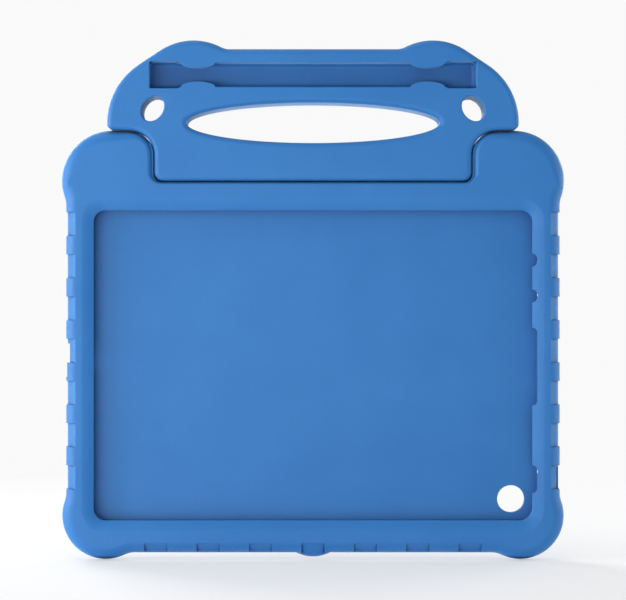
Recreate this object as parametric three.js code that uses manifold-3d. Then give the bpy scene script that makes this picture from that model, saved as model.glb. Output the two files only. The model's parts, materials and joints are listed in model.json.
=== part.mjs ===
// Moulded foam case for a tablet, with a carry handle that swings back and becomes a stand.
// Millimetres. +X is right as seen from the front, +Y is to the back and +Z is up.
// The origin is midway between the two feet and through the thickness, on the plane that the
// feet stand on.
import * as THREE from 'three';
import { mergeVertices } from 'three/addons/utils/BufferGeometryUtils.js';
import Module from 'manifold-3d';

const wasm = await Module();
wasm.setup();

// ---- Driving dimensions ----

// Depth levels, from front to back.
const FRONT_Y = -11.5;
const LIP_TIP_Y = -9.3;
const BAY_FRONT_Y = -8.5;
const BAY_FLOOR_Y = -2;
const BORDER_BACK_Y = 3;
const STEP_BACK_Y = 4.5;
const PANEL_BACK_Y = 6;
const RECESS_FLOOR_Y = 4;
const BACK_Y = 11.5;

// Outline of the shell. Feet and shoulders bulge past the straight edges.
const SIDE_X = 135.5;
const BOTTOM_Z = 3.6;
const FOOT = { x: 113.6, z: 24, radius: 24 };
const SHOULDER = { x: 110.4, z: 207.6, radius: 27.4 };
const SHOULDER_INNER = { x: 100.6, z: 221.3, radius: 13.3 };
const BULGE_BLEND = 14;
const BOSS = { halfWidth: 9.5, sag: 2.2 };
const FRONT_ROUND = 6.8;
const BORDER_ROUND = 7.5;
const NOTCH_ROUND = 4.5;

// The notch between the shoulders, and the handle's tongue in it. A sill along the front of the
// notch's floor closes the slit under the tongue. Behind it the floor lies clear of the swing,
// and the tongue has a slightly larger core there, which covers the slit from behind.
const NOTCH_FLOOR_Z = 205.4;
const NOTCH_CORNER = 4.7;
const NOTCH_REAR_CORNER = 3.5;
const SILL = { z: 206.5, depth: 4.5 };
const TONGUE_GAP = 0.35;
const TONGUE_BOTTOM_Z = 206.9;
const TONGUE_CORNER = 5;
const TONGUE_BACK_ROUND = 6;
const TONGUE_CORE = { bottom: 206.2, corner: 3.8, frontY: -5.5, backY: 4.5 };

// Hinge of the handle, along X.
const HINGE = { y: 1, z: 221.9 };
const PIN = { radius: 2, from: 66, to: 102.4 };
const BUSH = { radius: 3.5, bore: 2.35, from: 89.6, to: 102.7 };
const RING = { radius: 3.4, bore: 2.35, seatDepth: 1.25 };
const BAR = { end: 78, depth: 8, height: 7, bore: 2.35, boreDepth: 14 };

// Handle.
const BAR_TOP_Z = 279.4;
const BUMP = { x: 65.5, z: 251.2, radius: 33 };
const BUMP_BLEND = 10;
const EAR = { x: 74.8, z: 239.1, radius: 37.9, corner: 3.2 };
const HANDLE_ROUND = 3;
const GRIP = { z: 239, halfWidth: 69.2, halfHeight: 11, rim: 2.5 };
const STRAP = { x: 87.5, z: 246.6, long: 7.3, short: 5.6, tilt: 55, rim: 0.8 };
const CHANNEL = { z: 265.1, height: 13.3, end: 89.3, floorY: -1.5 };
const POCKET = { from: 73, height: 14.7 };
const LUG = { x: 62.7, halfWidth: 9.6, sag: 3, backY: -9.1 };

// Front lip and the tablet bay behind it.
const LIP = { halfWidth: 120, bottom: 21.5, top: 191.2, corner: 6.5, slope: 6 };
const BAY = { halfWidth: 124.1, bottom: 17.4, top: 196.5, corner: 18 };
const LIP_NOTCH_DEPTH = 3;
const ROUND_NOTCHES_Z = [164, 144.4];
const ROUND_NOTCH_HEIGHT = 7;
const LONG_NOTCHES_Z = [[84.5, 126.9], [36.6, 51.6]];

// Raised panel and the pad on the back.
const STEP = { halfWidth: 119.1, bottom: 31.5, top: 232.9, lower: 18, upper: 24, round: 0.8 };
const PANEL = { halfWidth: 113.5, bottom: 37.2, top: 227.9, lower: 14, upper: 20, round: 0.8 };
const PAD = { halfWidth: 98, bottom: 53.8, lower: 17, upper: 18, round: 5.5 };

// Grip ribs: shallow recesses round the front edge, with a wider rounding than the edge has.
const RIB = { length: 13, pitch: 23.1, middleZ: 114.4, inward: 4.7, backY: -0.5 };
const BOTTOM_RIB = { length: 12.5, pitch: 28.65, inward: 4.2 };
const RIB_DEPTH = 0.7;
const RIB_ROUND = 7.5;

// Openings in the sides and the back.
const SPEAKER = { x: 125.6, radius: 2.3, upperZ: 158.1, lowerZ: 60.8, pitch: 8.7, count: 4 };
const SPEAKER_FRONT_Y = -5;
const PORT = { x: 127.2, z: 109, height: 18.5, frontY: -8 };
const PLUG = { height: 11, frontY: -7.5, backY: -2.5 };
const POWER = { z: 44.3, height: 12.5, frontY: -7.7, backY: -2.9 };
const CAMERA = { x: 108.8, z: 32.7, radius: 7.5, rim: 1.5 };

// Long recess along the rear of the bottom edge, and the volume buttons in its ceiling.
const RABBET = { halfWidth: 112.4, ceilingZ: 15.2, frontY: -6.5, ledgeZ: 9, ledgeY: -5.5, round: 1.5 };
const BUTTON = { width: 12, depth: 3.3, y: -4.7, bottom: 14, top: 16.8, round: 0.8 };
const VOLUME_UP_X = 93.2;
const VOLUME_DOWN_X = 78.2;

// Clearance between pieces, how far a cutter runs past the surface that it cuts, and how far
// one cutter runs into the next.
const GAP = 0.3;
const PAST = 4;
const OVERLAP = 1;

// Degrees between the points of an arc, and the points of whole rounds.
const ARC_STEP = 12;
const FACETS = { hole: 10, notch: 16, bar: 16, strap: 20, oval: 24, grip: 44, tongue: 48 };

const NOTCH_X = SHOULDER_INNER.x - SHOULDER_INNER.radius;
const TONGUE_X = NOTCH_X - TONGUE_GAP;

// ---- Outlines, as points in the XZ plane ----

const toRadians = THREE.MathUtils.degToRad;
const toDegrees = THREE.MathUtils.radToDeg;

function point(x, z) {
  return new THREE.Vector2(x, z);
}

// Points along an arc, from one angle to another in degrees.
function arc(x, z, radius, from, to) {
  const count = Math.max(2, Math.ceil(Math.abs(to - from) / ARC_STEP));
  const points = [];
  for (let i = 0; i <= count; i++) {
    const angle = toRadians(from + ((to - from) * i) / count);
    points.push(point(x + radius * Math.cos(angle), z + radius * Math.sin(angle)));
  }
  return points;
}

// Closes a right half, listed anticlockwise, with its mirror image.
function symmetric(half) {
  const other = half.map((p) => point(-p.x, p.y)).reverse();
  return new THREE.Shape([...half, ...other]);
}

function rectangle(x0, x1, z0, z1) {
  return new THREE.Shape([point(x0, z0), point(x1, z0), point(x1, z1), point(x0, z1)]);
}

// An upright rectangle, symmetric about x = 0, with rounded corners.
function roundedRectangle(halfWidth, bottom, top, lower, upper = lower) {
  return symmetric([
    ...arc(halfWidth - lower, bottom + lower, lower, -90, 0),
    ...arc(halfWidth - upper, top - upper, upper, 0, 90),
  ]);
}

function ellipse(x, z, halfWidth, halfHeight, tilt, count) {
  const points = [];
  for (let i = 0; i < count; i++) {
    const angle = (2 * Math.PI * i) / count;
    points.push(point(halfWidth * Math.cos(angle), halfHeight * Math.sin(angle)));
  }
  const centre = point(0, 0);
  return new THREE.Shape(
    points.map((p) => p.rotateAround(centre, toRadians(tilt)).add(point(x, z))),
  );
}

// A bulge of this radius stands proud of a straight edge and blends into it through a hollow
// of the given radius. Gives the hollow's centre from the bulge's, and the bearing to it.
function blend(radius, proud, hollow) {
  const across = radius - proud + hollow;
  const along = Math.sqrt((radius + hollow) ** 2 - across ** 2);
  return { across, along, bearing: toDegrees(Math.atan2(along, across)) };
}

// The direction that the line touching two circles on the outside faces.
function tangentBearing(first, second) {
  const dx = second.x - first.x;
  const dz = second.z - first.z;
  const share = (first.radius - second.radius) / Math.hypot(dx, dz);
  return toDegrees(Math.atan2(dz, dx) - Math.acos(share));
}

function shellOutline() {
  const under = blend(FOOT.radius, BOTTOM_Z, BULGE_BLEND);
  const footSide = blend(FOOT.radius, FOOT.x + FOOT.radius - SIDE_X, BULGE_BLEND);
  const shoulderSide = blend(SHOULDER.radius, SHOULDER.x + SHOULDER.radius - SIDE_X, BULGE_BLEND);
  const crest = tangentBearing(SHOULDER, SHOULDER_INNER);
  const footHollow = point(FOOT.x + footSide.across, FOOT.z + footSide.along);
  const shoulderHollow = point(SHOULDER.x + shoulderSide.across, SHOULDER.z - shoulderSide.along);
  const bossRadius = (BOSS.halfWidth ** 2 + BOSS.sag ** 2) / (2 * BOSS.sag);
  const bossReach = toDegrees(Math.asin(BOSS.halfWidth / bossRadius));
  const bossZ = BOTTOM_Z - BOSS.sag + bossRadius;
  return symmetric([
    ...arc(0, bossZ, bossRadius, -90 + bossReach / 3, -90 + bossReach),
    ...arc(FOOT.x - under.along, FOOT.z - under.across, BULGE_BLEND, 90, 90 - under.bearing),
    ...arc(FOOT.x, FOOT.z, FOOT.radius, -90 - under.bearing, footSide.bearing),
    ...arc(footHollow.x, footHollow.y, BULGE_BLEND, 180 + footSide.bearing, 180),
    ...arc(shoulderHollow.x, shoulderHollow.y, BULGE_BLEND, 180, 180 - shoulderSide.bearing),
    ...arc(SHOULDER.x, SHOULDER.z, SHOULDER.radius, -shoulderSide.bearing, crest),
    ...arc(SHOULDER_INNER.x, SHOULDER_INNER.z, SHOULDER_INNER.radius, crest, 180),
    ...arc(NOTCH_X - NOTCH_CORNER, SILL.z + NOTCH_CORNER, NOTCH_CORNER, 0, -90),
  ]);
}

function handleOutline() {
  const earBottom = SHOULDER.z + SHOULDER.radius + TONGUE_GAP;
  const cornerZ = earBottom + EAR.corner;
  const cornerReach = EAR.radius - EAR.corner;
  const cornerX = EAR.x + Math.sqrt(cornerReach ** 2 - (cornerZ - EAR.z) ** 2);
  const cornerEnd = toDegrees(Math.atan2(cornerZ - EAR.z, cornerX - EAR.x));
  const proud = BUMP.z + BUMP.radius - BAR_TOP_Z;
  const inner = blend(BUMP.radius, proud, BUMP_BLEND);
  const hollow = point(BUMP.x - inner.along, BUMP.z + inner.across);
  const crest = tangentBearing(EAR, BUMP);
  return symmetric([
    ...arc(TONGUE_X - TONGUE_CORNER, TONGUE_BOTTOM_Z + TONGUE_CORNER, TONGUE_CORNER, -90, 0),
    ...arc(SHOULDER_INNER.x, SHOULDER_INNER.z, SHOULDER_INNER.radius + TONGUE_GAP, 180, 90),
    ...arc(cornerX, cornerZ, EAR.corner, -90, cornerEnd),
    ...arc(EAR.x, EAR.z, EAR.radius, cornerEnd, crest),
    ...arc(BUMP.x, BUMP.z, BUMP.radius, crest, 90 + inner.bearing),
    ...arc(hollow.x, hollow.y, BUMP_BLEND, inner.bearing - 90, -90),
  ]);
}

// ---- Solids ----

function solid(geometry) {
  geometry.deleteAttribute('normal');
  geometry.deleteAttribute('uv');
  const merged = mergeVertices(geometry);
  const vertProperties = merged.getAttribute('position').array;
  const triVerts = merged.getIndex().array;
  return new wasm.Manifold(new wasm.Mesh({ numProp: 3, vertProperties, triVerts }));
}

// Extrudes an outline from yFront to yBack. The bevel at each end is `depth` deep and makes
// the section grow by `size` from the end inward, starting `offset` from the outline.
function extrude(outline, yFront, yBack, bevel = { depth: 0, size: 0, offset: 0, segments: 0 }) {
  const geometry = new THREE.ExtrudeGeometry(outline, {
    depth: yBack - yFront - 2 * bevel.depth,
    bevelEnabled: bevel.depth > 0,
    bevelThickness: bevel.depth,
    bevelSize: bevel.size,
    bevelOffset: bevel.offset,
    bevelSegments: bevel.segments,
  });
  geometry.rotateX(Math.PI / 2);
  geometry.translate(0, yBack - bevel.depth, 0);
  return solid(geometry);
}

function roundBevel(radius, segments = 3) {
  return { depth: radius, size: radius, offset: -radius, segments };
}

// A slab whose front and back edges are rounded by different radii.
function slab(outline, yFront, yBack, frontRound, backRound) {
  const front = extrude(outline, yFront, yBack + frontRound, roundBevel(frontRound));
  const back = extrude(outline, yFront - backRound, yBack, roundBevel(backRound));
  return front.intersect(back);
}

// A cutter that widens an opening towards a face, by `spread` over `depth`.
function flare(outline, faceY, depth, spread, outward) {
  const bevel = { depth, size: spread, offset: 0, segments: 1 };
  const far = faceY + outward * (PAST + depth);
  const near = faceY - outward * depth;
  return extrude(outline, Math.min(near, far), Math.max(near, far), bevel);
}

function box(x0, x1, y0, y1, z0, z1) {
  const geometry = new THREE.BoxGeometry(x1 - x0, y1 - y0, z1 - z0);
  geometry.translate((x0 + x1) / 2, (y0 + y1) / 2, (z0 + z1) / 2);
  return solid(geometry);
}

// A round bar along X.
function roundBar(radius, x0, x1, y, z, sides = FACETS.bar) {
  const geometry = new THREE.CylinderGeometry(radius, radius, x1 - x0, sides);
  geometry.rotateZ(Math.PI / 2);
  geometry.translate((x0 + x1) / 2, y, z);
  return solid(geometry);
}

// A round hole's cutter, along Y.
function roundHole(radius, x, z, y0, y1) {
  const geometry = new THREE.CylinderGeometry(radius, radius, y1 - y0, FACETS.hole);
  geometry.translate(x, (y0 + y1) / 2, z);
  return solid(geometry);
}

function hingeBar(radius, side, from, to) {
  const ends = [side * from, side * to];
  return roundBar(radius, Math.min(...ends), Math.max(...ends), HINGE.y, HINGE.z);
}

function tube(radius, bore, side, from, to) {
  return hingeBar(radius, side, from, to)
    .subtract(hingeBar(bore, side, from - OVERLAP, to + OVERLAP));
}

const SIDES = [-1, 1];

// ---- Shell ----

function shellBody() {
  const outline = shellOutline();
  const stepOutline = roundedRectangle(
    STEP.halfWidth, STEP.bottom, STEP.top, STEP.lower, STEP.upper);
  const panelOutline = roundedRectangle(
    PANEL.halfWidth, PANEL.bottom, PANEL.top, PANEL.lower, PANEL.upper);
  const raised = extrude(stepOutline, BAY_FRONT_Y, STEP_BACK_Y, roundBevel(STEP.round, 2)).add(
    extrude(panelOutline, BAY_FRONT_Y, PANEL_BACK_Y, roundBevel(PANEL.round, 2)));
  const limits = slab(outline, FRONT_Y, PANEL_BACK_Y, FRONT_ROUND, NOTCH_ROUND);
  return slab(outline, FRONT_Y, BORDER_BACK_Y, FRONT_ROUND, BORDER_ROUND)
    .add(raised.intersect(limits));
}

// What lies under the recesses' floors: the shell drawn in by their depth.
function ribCore() {
  const bevel = roundBevel(RIB_ROUND);
  bevel.offset -= RIB_DEPTH;
  return extrude(shellOutline(), FRONT_Y + RIB_DEPTH, BACK_Y + RIB_ROUND, bevel);
}

function ribs() {
  const blocks = [];
  for (let i = -3; i <= 3; i++) {
    const z = RIB.middleZ + i * RIB.pitch;
    for (const x of SIDES) {
      const ends = [x * (SIDE_X - RIB.inward), x * (SIDE_X + PAST)];
      blocks.push(box(Math.min(...ends), Math.max(...ends), FRONT_Y - PAST, RIB.backY,
        z - RIB.length / 2, z + RIB.length / 2));
    }
    const x = i * BOTTOM_RIB.pitch;
    blocks.push(box(x - BOTTOM_RIB.length / 2, x + BOTTOM_RIB.length / 2,
      FRONT_Y - PAST, RABBET.frontY - OVERLAP, -PAST, BOTTOM_Z + BOTTOM_RIB.inward));
  }
  return wasm.Manifold.union(blocks).subtract(ribCore());
}

function tabletBay() {
  const lip = roundedRectangle(LIP.halfWidth, LIP.bottom, LIP.top, LIP.corner);
  const bay = roundedRectangle(BAY.halfWidth, BAY.bottom, BAY.top, BAY.corner);
  return extrude(lip, FRONT_Y - PAST, BAY_FRONT_Y + OVERLAP)
    .add(flare(lip, FRONT_Y, LIP_TIP_Y - FRONT_Y, LIP.slope, -1))
    .add(extrude(bay, BAY_FRONT_Y, BAY_FLOOR_Y));
}

// Reliefs in the right edge of the lip, beside the tablet's sensors and its power button.
function lipNotches() {
  const cuts = [];
  for (const z of ROUND_NOTCHES_Z) {
    const shape = ellipse(LIP.halfWidth, z, LIP_NOTCH_DEPTH, ROUND_NOTCH_HEIGHT / 2, 0, FACETS.notch);
    cuts.push(extrude(shape, FRONT_Y - PAST, BAY_FRONT_Y + OVERLAP));
  }
  for (const [bottom, top] of LONG_NOTCHES_Z) {
    const shape = new THREE.Shape([
      point(LIP.halfWidth - OVERLAP, bottom - OVERLAP),
      point(LIP.halfWidth, bottom),
      point(LIP.halfWidth + LIP_NOTCH_DEPTH, bottom + LIP_NOTCH_DEPTH),
      point(LIP.halfWidth + LIP_NOTCH_DEPTH, top - LIP_NOTCH_DEPTH),
      point(LIP.halfWidth, top),
      point(LIP.halfWidth - OVERLAP, top + OVERLAP),
    ]);
    cuts.push(extrude(shape, FRONT_Y - PAST, BAY_FRONT_Y + OVERLAP));
  }
  return wasm.Manifold.union(cuts);
}

function speakerHoles() {
  const holes = [];
  for (const side of SIDES) {
    for (const middle of [SPEAKER.upperZ, SPEAKER.lowerZ]) {
      for (let i = 0; i < SPEAKER.count; i++) {
        const z = middle + (i - (SPEAKER.count - 1) / 2) * SPEAKER.pitch;
        holes.push(roundHole(SPEAKER.radius, side * SPEAKER.x, z, SPEAKER_FRONT_Y, BACK_Y));
      }
    }
  }
  return wasm.Manifold.union(holes);
}

// The plug's opening is on the left side and the finger opening for the power button is on
// the right. The rear camera looks out of a round hole.
function sideOpenings() {
  const halfPort = PORT.height / 2;
  const halfPlug = PLUG.height / 2;
  const halfPower = POWER.height / 2;
  const camera = ellipse(CAMERA.x, CAMERA.z, CAMERA.radius, CAMERA.radius, 0, FACETS.oval);
  return wasm.Manifold.union([
    box(-SIDE_X - PAST, -PORT.x, PORT.frontY, BACK_Y, PORT.z - halfPort, PORT.z + halfPort),
    box(-PORT.x - OVERLAP, -BAY.halfWidth + OVERLAP, PLUG.frontY, PLUG.backY,
      PORT.z - halfPlug, PORT.z + halfPlug),
    box(BAY.halfWidth - OVERLAP, SIDE_X + PAST, POWER.frontY, POWER.backY,
      POWER.z - halfPower, POWER.z + halfPower),
    extrude(camera, BAY_FLOOR_Y - OVERLAP, BACK_Y),
    flare(camera, BORDER_BACK_Y, CAMERA.rim, CAMERA.rim, 1),
  ]);
}

function rabbet() {
  const outline = roundedRectangle(RABBET.halfWidth, -PAST, RABBET.ceilingZ, RABBET.round);
  const ledge = box(
    -SIDE_X, SIDE_X, RABBET.frontY - OVERLAP, RABBET.ledgeY, -2 * PAST, RABBET.ledgeZ);
  return extrude(outline, RABBET.frontY, BACK_Y).subtract(ledge);
}

function buttonBlock(x, clearance) {
  const half = BUTTON.width / 2 + clearance;
  const depth = BUTTON.depth / 2 + clearance;
  const past = clearance > 0 ? PAST : 0;
  const outline = roundedRectangle(half, BUTTON.bottom - past, BUTTON.top + past, BUTTON.round);
  return extrude(outline, BUTTON.y - depth, BUTTON.y + depth).translate([x, 0, 0]);
}

function hingeBores() {
  const cuts = [];
  for (const side of SIDES) {
    cuts.push(hingeBar(BUSH.radius + GAP, side, BUSH.from - GAP, BUSH.to + GAP));
    cuts.push(hingeBar(BUSH.bore, side, NOTCH_X - OVERLAP, BUSH.from));
  }
  return wasm.Manifold.union(cuts);
}

function padOutline(clearance) {
  return roundedRectangle(PAD.halfWidth + clearance, PAD.bottom - clearance,
    NOTCH_FLOOR_Z + clearance, PAD.lower + clearance, PAD.upper + clearance);
}

// The room behind the sill for the tongue's lower edge.
function swingRoom() {
  const outline = roundedRectangle(NOTCH_X, NOTCH_FLOOR_Z, HINGE.z, NOTCH_REAR_CORNER);
  return extrude(outline, FRONT_Y + SILL.depth, BACK_Y);
}

function caseShell() {
  const cuts = wasm.Manifold.union([
    swingRoom(),
    tabletBay(),
    lipNotches(),
    ribs(),
    speakerHoles(),
    sideOpenings(),
    rabbet(),
    buttonBlock(VOLUME_UP_X, GAP),
    buttonBlock(VOLUME_DOWN_X, GAP),
    hingeBores(),
    extrude(padOutline(GAP), RECESS_FLOOR_Y, BACK_Y),
  ]);
  return shellBody().subtract(cuts);
}

function backPad() {
  const bevel = roundBevel(PAD.round);
  const whole = extrude(padOutline(0), RECESS_FLOOR_Y + GAP - PAD.round, BACK_Y, bevel);
  const front = box(-SIDE_X, SIDE_X, FRONT_Y, RECESS_FLOOR_Y + GAP, 0, BAR_TOP_Z);
  return whole.subtract(front);
}

// ---- Handle ----

// A run for a stylus, wider at its ends, that pairs of rounded lugs narrow at the front.
function stylusChannel() {
  const half = CHANNEL.height / 2;
  let channel = box(-CHANNEL.end, CHANNEL.end, FRONT_Y - PAST, CHANNEL.floorY,
    CHANNEL.z - half, CHANNEL.z + half);
  for (const side of SIDES) {
    const ends = [side * POCKET.from, side * CHANNEL.end];
    channel = channel.add(box(Math.min(...ends), Math.max(...ends), FRONT_Y - PAST,
      CHANNEL.floorY, CHANNEL.z - POCKET.height / 2, CHANNEL.z + POCKET.height / 2));
  }
  for (const side of SIDES) {
    for (const up of SIDES) {
      const z = CHANNEL.z + up * half;
      const lug = ellipse(side * LUG.x, z, LUG.halfWidth, LUG.sag, 0, FACETS.oval);
      channel = channel.subtract(extrude(lug, FRONT_Y - 2 * PAST, LUG.backY));
    }
  }
  return channel;
}

function strapHole(side) {
  const tilt = 90 + side * (90 - STRAP.tilt);
  const outline = ellipse(
    side * STRAP.x, STRAP.z, STRAP.long, STRAP.short, tilt, FACETS.strap);
  return extrude(outline, FRONT_Y - PAST, BACK_Y + PAST)
    .add(flare(outline, FRONT_Y, STRAP.rim, STRAP.rim, -1))
    .add(flare(outline, BACK_Y, STRAP.rim, STRAP.rim, 1));
}

function gripOpening() {
  const outline = ellipse(0, GRIP.z, GRIP.halfWidth, GRIP.halfHeight, 0, FACETS.grip);
  return extrude(outline, FRONT_Y - PAST, BACK_Y + PAST)
    .add(flare(outline, FRONT_Y, GRIP.rim, GRIP.rim, -1))
    .add(flare(outline, BACK_Y, GRIP.rim, GRIP.rim, 1));
}

// The rounded rear bottom edge of the tongue, which lets it turn above the notch's floor.
function tongueRounding() {
  const y = BACK_Y - TONGUE_BACK_ROUND;
  const z = TONGUE_BOTTOM_Z + TONGUE_BACK_ROUND;
  const corner = box(-TONGUE_X, TONGUE_X, y, BACK_Y + PAST, TONGUE_BOTTOM_Z - PAST, z);
  return corner.subtract(
    roundBar(TONGUE_BACK_ROUND, -SIDE_X, SIDE_X, y, z, FACETS.tongue));
}

function barBlock(clearance) {
  const depth = BAR.depth / 2 + clearance;
  const height = BAR.height / 2 + clearance;
  const end = BAR.end + clearance;
  return box(-end, end, HINGE.y - depth, HINGE.y + depth, HINGE.z - height, HINGE.z + height);
}

function tongueCore() {
  const { bottom, corner, frontY, backY } = TONGUE_CORE;
  return extrude(roundedRectangle(TONGUE_X, bottom, HINGE.z, corner), frontY, backY);
}

function handleBody() {
  const body = slab(handleOutline(), FRONT_Y, BACK_Y, HANDLE_ROUND, HANDLE_ROUND)
    .add(tongueCore());
  const pinBores = SIDES.map((side) => hingeBar(BAR.bore, side, BAR.end, TONGUE_X + OVERLAP));
  const ringSeats = SIDES.map(
    (side) => hingeBar(RING.radius + GAP, side, TONGUE_X - RING.seatDepth, TONGUE_X + OVERLAP));
  return body.subtract(wasm.Manifold.union([
    stylusChannel(),
    strapHole(-1),
    strapHole(1),
    gripOpening(),
    tongueRounding(),
    barBlock(GAP),
    ...pinBores,
    ...ringSeats,
  ]));
}

// The stiff bar inside the tongue that both hinge pins are pressed into.
function stiffeningBar() {
  const bores = SIDES.map(
    (side) => hingeBar(BAR.bore, side, BAR.end - BAR.boreDepth, BAR.end + OVERLAP));
  return barBlock(0).subtract(wasm.Manifold.union(bores));
}

// ---- Scene graph ----

const foam = new THREE.MeshStandardMaterial({ color: 0x3f7fc9, roughness: 0.62, metalness: 0 });
const hardPlastic = new THREE.MeshStandardMaterial({ color: 0x24262a, roughness: 0.5, metalness: 0 });
const nylon = new THREE.MeshStandardMaterial({ color: 0xd9dad6, roughness: 0.45, metalness: 0 });
const steel = new THREE.MeshStandardMaterial({ color: 0xb4b7ba, roughness: 0.28, metalness: 1 });

function mesh(name, manifold, material) {
  const { vertProperties, triVerts } = manifold.getMesh();
  const geometry = new THREE.BufferGeometry();
  geometry.setAttribute('position', new THREE.BufferAttribute(vertProperties, 3));
  geometry.setIndex(new THREE.BufferAttribute(triVerts, 1));
  geometry.computeVertexNormals();
  const piece = new THREE.Mesh(geometry, material);
  piece.name = name;
  return piece;
}

const group = new THREE.Group();
const shellGroup = new THREE.Group();
const handleGroup = new THREE.Group();
group.add(shellGroup, handleGroup);

shellGroup.add(
  mesh('case_shell', caseShell(), foam),
  mesh('back_pad', backPad(), foam),
  mesh('volume_up_pad', buttonBlock(VOLUME_UP_X, 0), foam),
  mesh('volume_down_pad', buttonBlock(VOLUME_DOWN_X, 0), foam),
);
handleGroup.add(
  mesh('handle_body', handleBody(), foam),
  mesh('hinge_bar', stiffeningBar(), hardPlastic),
);

const ringStart = TONGUE_X - RING.seatDepth + GAP;
const ringEnd = NOTCH_X - GAP;
for (const [name, side] of [['left', -1], ['right', 1]]) {
  const bush = tube(BUSH.radius, BUSH.bore, side, BUSH.from, BUSH.to);
  const ring = tube(RING.radius, RING.bore, side, ringStart, ringEnd);
  shellGroup.add(mesh(`${name}_shoulder_bush`, bush, nylon));
  handleGroup.add(
    mesh(`${name}_hinge_pin`, hingeBar(PIN.radius, side, PIN.from, PIN.to), steel),
    mesh(`${name}_friction_ring`, ring, nylon),
  );
}

export default group;
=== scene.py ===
"""The looks of a moulded foam tablet case with a swinging carry handle.

Outlines are in millimetres in the XZ plane and become metres when a mesh is made.
+X is right as seen from the front, +Y is to the back and +Z is up.
"""
import json
import math

import bmesh
import bpy
import numpy as np
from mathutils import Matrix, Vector


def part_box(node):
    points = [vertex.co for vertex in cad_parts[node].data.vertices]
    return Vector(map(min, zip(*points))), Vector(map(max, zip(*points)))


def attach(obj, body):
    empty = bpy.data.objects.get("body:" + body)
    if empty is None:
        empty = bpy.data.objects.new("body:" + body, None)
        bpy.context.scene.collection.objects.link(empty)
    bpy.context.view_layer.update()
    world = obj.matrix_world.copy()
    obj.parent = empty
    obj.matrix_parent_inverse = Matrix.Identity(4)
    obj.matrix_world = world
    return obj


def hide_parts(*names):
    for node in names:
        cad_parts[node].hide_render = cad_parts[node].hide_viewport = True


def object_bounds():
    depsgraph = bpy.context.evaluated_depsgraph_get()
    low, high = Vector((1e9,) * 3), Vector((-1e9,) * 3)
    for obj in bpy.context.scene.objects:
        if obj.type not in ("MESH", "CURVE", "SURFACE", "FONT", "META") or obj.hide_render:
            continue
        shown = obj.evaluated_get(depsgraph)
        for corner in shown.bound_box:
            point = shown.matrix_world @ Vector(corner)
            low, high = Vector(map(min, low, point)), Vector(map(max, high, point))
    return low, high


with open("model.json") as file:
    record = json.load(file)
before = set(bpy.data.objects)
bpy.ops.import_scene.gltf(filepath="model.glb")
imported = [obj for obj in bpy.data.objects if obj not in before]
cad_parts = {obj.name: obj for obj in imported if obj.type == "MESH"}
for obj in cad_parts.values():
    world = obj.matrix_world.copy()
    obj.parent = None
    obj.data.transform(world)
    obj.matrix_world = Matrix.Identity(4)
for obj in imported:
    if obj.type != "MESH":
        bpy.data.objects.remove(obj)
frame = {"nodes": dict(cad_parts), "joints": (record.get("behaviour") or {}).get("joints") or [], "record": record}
CAD_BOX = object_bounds()

MM = 0.001
GAP = 0.3                # between pieces that don't touch
PAST = 4.0               # how far a cutter reaches beyond what it cuts
OVERLAP = 0.1            # how deep joined cutters run into each other
HAIR = 0.01              # keeps two faces out of one plane
SIDES = (-1, 1)


def node_box(name):
    """Lowest and highest corner of a CAD node, in millimetres."""
    low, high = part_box(name)
    return low / MM, high / MM


# ---- Anchors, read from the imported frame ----
SHELL_LOW, SHELL_HIGH = node_box("case_shell")
HANDLE_LOW, HANDLE_HIGH = node_box("handle_body")
PAD_LOW, PAD_HIGH = node_box("back_pad")
BAR_LOW, BAR_HIGH = node_box("hinge_bar")
BUSH_LOW, BUSH_HIGH = node_box("right_shoulder_bush")
RING_LOW, RING_HIGH = node_box("right_friction_ring")
OPENINGS = {
    opening["name"]: [Vector(corner) / MM for corner in opening["box_m"]]
    for opening in frame["record"]["physics"]["openings"]
}
HINGE = Vector(next(j for j in frame["joints"] if j["name"] == "handle_hinge")["pos_m"]) / MM

FRONT_Y = SHELL_LOW.y
PANEL_BACK_Y = SHELL_HIGH.y
BACK_Y = HANDLE_HIGH.y
RECESS_FLOOR_Y = PAD_LOW.y - GAP
SHOULDER_TOP_Z = SHELL_HIGH.z
NOTCH_FLOOR_Z = PAD_HIGH.z
TONGUE_CORE_Z = HANDLE_LOW.z
TONGUE_CORE_DROP = 0.7
TONGUE_BOTTOM_Z = TONGUE_CORE_Z + TONGUE_CORE_DROP
WIDEST_X = SHELL_HIGH.x

# ---- Depth levels behind the front face ----
LIP_TIP_Y = FRONT_Y + 2.2
BAY_FRONT_Y = FRONT_Y + 3.0
BAY_FLOOR_Y = FRONT_Y + 9.5
BORDER_BACK_Y = PANEL_BACK_Y - 3.0
STEP_BACK_Y = PANEL_BACK_Y - 1.5

# ---- Shell outline ----
CORNER_BULGE = 2.3
SIDE_X = WIDEST_X - CORNER_BULGE
BOTTOM_Z = 3.6
FOOT_RADIUS = 24.0
FOOT = Vector((113.6, SHELL_LOW.z + FOOT_RADIUS))
SHOULDER_RADIUS = 27.4
SHOULDER = Vector((WIDEST_X - SHOULDER_RADIUS, SHOULDER_TOP_Z - SHOULDER_RADIUS))
INNER = Vector((100.6, 221.3))
INNER_RADIUS = 13.3
BULGE_BLEND = 14.0
BOSS_HALF_WIDTH = 9.5
BOSS_SAG = 2.2
FRONT_ROUND = 6.8
BORDER_ROUND = 7.5
NOTCH_ROUND = 4.5
NOTCH_CORNER = 4.7
NOTCH_REAR_CORNER = 3.5
NOTCH_X = INNER.x - INNER_RADIUS
SILL_GAP = 0.4
SILL_Z = TONGUE_BOTTOM_Z - SILL_GAP
SILL_BACK_Y = FRONT_Y + 4.5

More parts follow.
